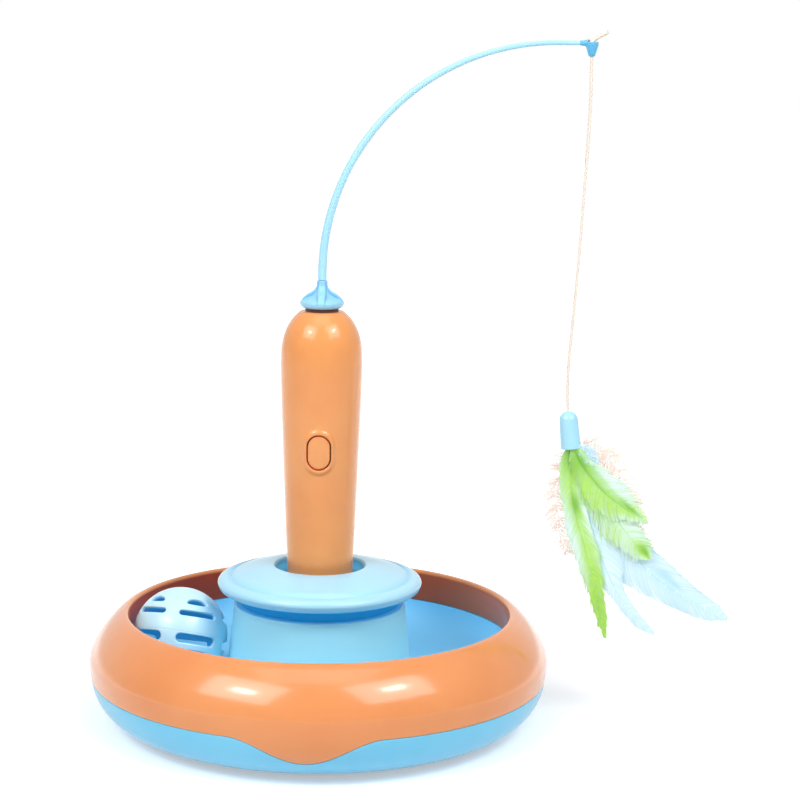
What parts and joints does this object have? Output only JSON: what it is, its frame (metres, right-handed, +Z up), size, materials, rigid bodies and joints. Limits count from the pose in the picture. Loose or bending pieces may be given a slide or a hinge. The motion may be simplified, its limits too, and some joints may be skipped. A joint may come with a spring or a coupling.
{
  "type": "rotating feather cat toy",
  "caption": "Cat toy with a ball track base, a lift-out motor handle and a feather lure on a cord from a bent rotating rod.",
  "frame": {"origin": "centre of the base shell's flat underside, on the turning axis of the rod", "axes": "+Z up along the handle and the rod's turning axis, -Y to the front with the power button, +X to the side where the rod bends at rest"},
  "size_m": [0.2912, 0.21, 0.3204],
  "materials": {
    "orange_plastic": "moulded, softly glossy",
    "sky_plastic": "moulded, glossy",
    "pale_sky_plastic": "moulded, glossy",
    "ball_plastic": "moulded, glossy",
    "natural_plastic": "unpainted moulded gears and plates",
    "black_plastic": "moulded, matte",
    "foot_rubber": "matte rubber",
    "screw_steel": "zinc plated",
    "contact_brass": "turned or stamped",
    "board_laminate": "solder mask",
    "cell_jacket": "plain printed jacket",
    "cord_cotton": "twisted cord",
    "green_feather": "dyed feather",
    "pale_feather": "pale blue feather",
    "peach_fluff": "downy fluff"
  },
  "bodies": {
    "base": {"base_shell": "sky_plastic", "rubber_foot_1": "foot_rubber", "rubber_foot_2": "foot_rubber", "rubber_foot_3": "foot_rubber", "rubber_foot_4": "foot_rubber", "base_screw_1": "screw_steel", "base_screw_2": "screw_steel", "base_screw_3": "screw_steel", "base_screw_4": "screw_steel", "rim_ring": "orange_plastic", "track_tray": "sky_plastic", "socket_cap": "pale_sky_plastic", "cap_screw_1": "screw_steel", "cap_screw_2": "screw_steel", "cap_screw_3": "screw_steel"},
    "ball": {"ball_upper_half": "ball_plastic", "ball_lower_half": "ball_plastic"},
    "handle": {"handle_front_shell": "orange_plastic", "handle_back_shell": "orange_plastic", "handle_screw_1": "screw_steel", "handle_screw_2": "screw_steel", "handle_screw_3": "screw_steel", "tact_switch": "black_plastic", "circuit_board": "board_laminate", "battery_cell_1": "cell_jacket", "battery_cell_2": "cell_jacket", "battery_cell_3": "cell_jacket", "battery_carrier": "black_plastic", "upper_contact_plate": "contact_brass", "gearbox_lower_plate": "natural_plastic", "gearbox_upper_plate": "natural_plastic", "layshaft": "screw_steel", "motor_can": "screw_steel", "motor_end_cap": "black_plastic", "output_bush": "contact_brass"},
    "battery_cap": {"battery_cap": "orange_plastic", "lower_contact_plate": "contact_brass"},
    "button": {"power_button": "orange_plastic", "switch_plunger": "black_plastic"},
    "pinion": {"motor_pinion": "contact_brass"},
    "first_cluster": {"first_cluster_gear": "natural_plastic"},
    "second_cluster": {"second_cluster_gear": "natural_plastic"},
    "third_cluster": {"third_cluster_gear": "natural_plastic"},
    "rotor": {"output_gear": "natural_plastic", "output_shaft": "screw_steel", "rotor_hub": "sky_plastic", "lure_rod": "pale_sky_plastic", "rod_eyelet": "sky_plastic", "cord_knot": "cord_cotton"},
    "cord": {"lure_cord": "cord_cotton"},
    "lure": {"lure_ferrule": "sky_plastic", "marabou_fluff_left": "peach_fluff", "marabou_fluff_right": "peach_fluff", "green_feather_small": "green_feather", "green_feather_left": "green_feather", "green_feather_right": "green_feather", "pale_feather_short": "pale_feather", "pale_feather_long": "pale_feather"}
  },
  "joints": [
    {"name": "handle_lift", "type": "slide", "parent": "base", "child": "handle", "axis": [0, 0, 1], "range_m": [0, 0.06]},
    {"name": "ball_roll", "type": "hinge", "parent": "base", "child": "ball", "pos_m": [0, 0, 0], "axis": [0, 0, 1], "continuous": true},
    {"name": "battery_cap_turn", "type": "hinge", "parent": "handle", "child": "battery_cap", "pos_m": [0, 0, 0.0454], "axis": [0, 0, 1], "range_deg": [0, 45]},
    {"name": "button_press", "type": "slide", "parent": "handle", "child": "button", "axis": [0, 1, 0], "range_m": [0, 0.001], "stiffness_N_per_m": 400},
    {"name": "rotor_spin", "type": "hinge", "parent": "handle", "child": "rotor", "pos_m": [0, 0, 0.1902], "axis": [0, 0, 1], "continuous": true},
    {"name": "third_cluster_spin", "type": "hinge", "parent": "handle", "child": "third_cluster", "pos_m": [0, 0.0084, 0.1694], "axis": [0, 0, 1], "continuous": true},
    {"name": "second_cluster_spin", "type": "hinge", "parent": "handle", "child": "second_cluster", "pos_m": [0, 0, 0.167], "axis": [0, 0, 1], "continuous": true},
    {"name": "first_cluster_spin", "type": "hinge", "parent": "handle", "child": "first_cluster", "pos_m": [0, 0.0084, 0.1646], "axis": [0, 0, 1], "continuous": true},
    {"name": "pinion_spin", "type": "hinge", "parent": "handle", "child": "pinion", "pos_m": [0, 0, 0.1646], "axis": [0, 0, 1], "continuous": true},
    {"name": "cord_swing", "type": "hinge", "parent": "rotor", "child": "cord", "pos_m": [0.118, 0, 0.3029], "axis": [0, -1, 0], "range_deg": [-3, 60]},
    {"name": "lure_tilt", "type": "hinge", "parent": "cord", "child": "lure", "pos_m": [0.11225, 0, 0.14102], "axis": [1, 0, 0], "range_deg": [-40, 40]}
  ],
  "couplings": [
    {"joint": "third_cluster_spin", "follows": "rotor_spin", "ratio": -2.5},
    {"joint": "second_cluster_spin", "follows": "rotor_spin", "ratio": 6.25},
    {"joint": "first_cluster_spin", "follows": "rotor_spin", "ratio": -15.625},
    {"joint": "pinion_spin", "follows": "rotor_spin", "ratio": 39.062}
  ]
}
